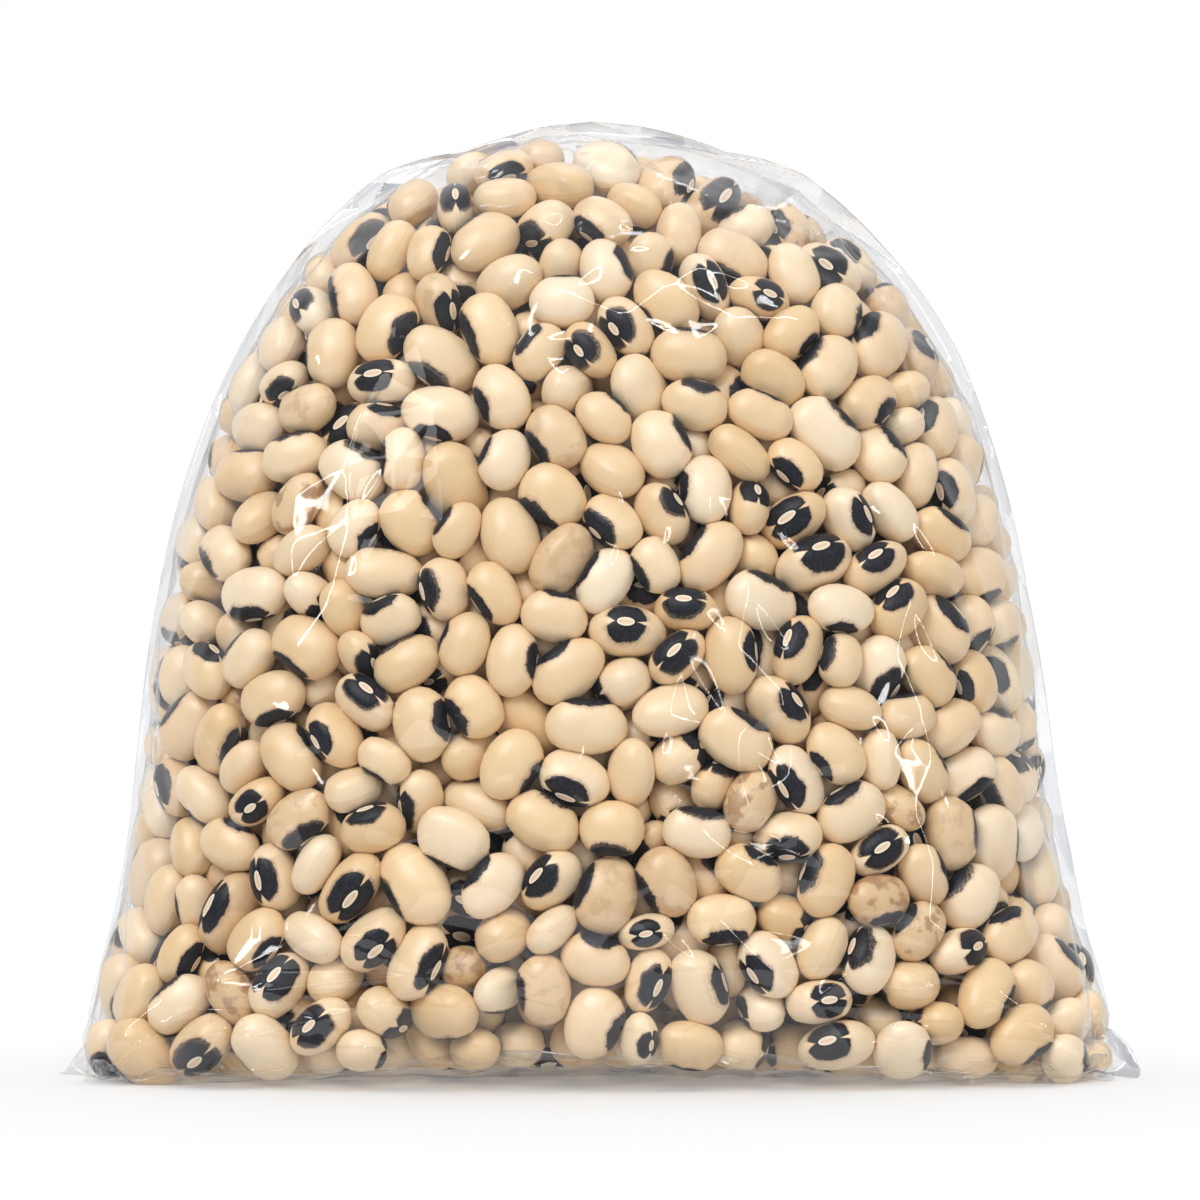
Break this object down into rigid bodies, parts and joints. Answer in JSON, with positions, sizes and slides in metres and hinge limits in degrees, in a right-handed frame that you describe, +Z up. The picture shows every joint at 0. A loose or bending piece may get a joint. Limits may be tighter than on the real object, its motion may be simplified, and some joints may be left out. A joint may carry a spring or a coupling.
{
  "type": "bag of dried beans",
  "caption": "Clear sealed film bag packed full of dried black-eyed peas, arched top, spread foot with small corner ears, standing on a flat base.",
  "frame": {"origin": "middle of the footprint on the floor", "axes": "+X across the bag's broad face, to the right seen from the front; +Y from the front face to the back; +Z up"},
  "size_m": [0.1344, 0.0697, 0.1204],
  "materials": {
    "beans": "dried black-eyed peas: satin cream seed coat with a black eye round a pale oval scar",
    "film": "thin clear glossy film with fine creases and a welded edge"
  },
  "bodies": {
    "root": {"sealed_bag": "beans"}
  },
  "joints": []
}
